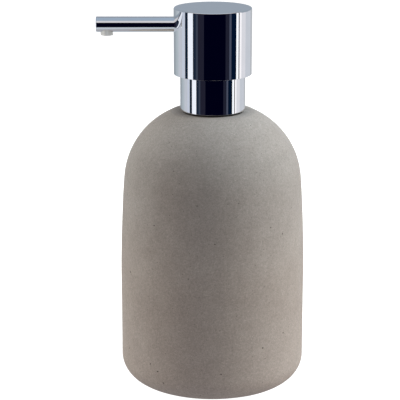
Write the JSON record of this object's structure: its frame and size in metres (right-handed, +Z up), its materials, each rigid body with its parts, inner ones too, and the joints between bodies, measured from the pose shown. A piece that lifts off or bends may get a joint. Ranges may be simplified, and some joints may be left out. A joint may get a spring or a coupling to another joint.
{
  "type": "soap pump dispenser",
  "caption": "Round domed concrete soap dispenser with a bright metal press-down lotion pump and a straight side spout.",
  "frame": {"origin": "centre of the foot pad's underside, on the surface it stands on", "axes": "+Z up along the pump's axis; the spout points along -X"},
  "size_m": [0.099, 0.0886, 0.1825],
  "materials": {
    "concrete": "matt cast concrete, fine grain with small air pores",
    "bottle_plastic": "natural blow-moulded polyethylene",
    "neck_plastic": "moulded black polypropylene",
    "foot_foam": "soft matt foam rubber",
    "gasket_foam": "expanded polyethylene washer",
    "chrome": "bright mirror finish",
    "pump_plastic": "natural polypropylene moulding",
    "clear_plastic": "translucent polyethylene",
    "steel": "drawn stainless steel",
    "seal_plastic": "soft white polyethylene"
  },
  "bodies": {
    "bottle": {"body_shell": "concrete", "inner_bottle": "bottle_plastic", "neck_insert": "neck_plastic", "foot_pad": "foot_foam"},
    "pump": {"neck_gasket": "gasket_foam", "pump_housing": "pump_plastic", "guide_bushing": "pump_plastic", "ball_cage": "pump_plastic", "dip_tube": "clear_plastic", "return_spring": "steel"},
    "closure": {"closure_nut": "pump_plastic", "collar_sleeve": "chrome"},
    "inlet_valve": {"inlet_ball": "steel"},
    "plunger": {"piston_stem": "pump_plastic", "piston_seal": "seal_plastic", "piston_retainer": "pump_plastic", "outlet_ball_stop": "pump_plastic"},
    "outlet_valve": {"outlet_ball": "steel"},
    "head": {"head_shell": "chrome", "head_core": "pump_plastic", "spout_tube": "chrome", "spout_liner": "clear_plastic", "spout_end_plug": "chrome", "nozzle_tip": "clear_plastic"}
  },
  "joints": [
    {"name": "pump_lift", "type": "slide", "parent": "bottle", "child": "pump", "axis": [0, 0, 1], "range_m": [0, 0.14]},
    {"name": "closure_turn", "type": "hinge", "parent": "pump", "child": "closure", "pos_m": [0, 0, 0.145], "axis": [0, 0, 1], "continuous": true},
    {"name": "inlet_ball_rise", "type": "slide", "parent": "pump", "child": "inlet_valve", "axis": [0, 0, 1], "range_m": [0, 0.001]},
    {"name": "press", "type": "slide", "parent": "pump", "child": "plunger", "axis": [0, 0, 1], "range_m": [-0.0135, 0], "stiffness_N_per_m": 500, "springref_m": 0.02, "deforming": ["return_spring"]},
    {"name": "outlet_ball_rise", "type": "slide", "parent": "plunger", "child": "outlet_valve", "axis": [0, 0, 1], "range_m": [0, 0.001]},
    {"name": "head_turn", "type": "hinge", "parent": "plunger", "child": "head", "pos_m": [0, 0, 0.167], "axis": [0, 0, 1], "continuous": true}
  ]
}
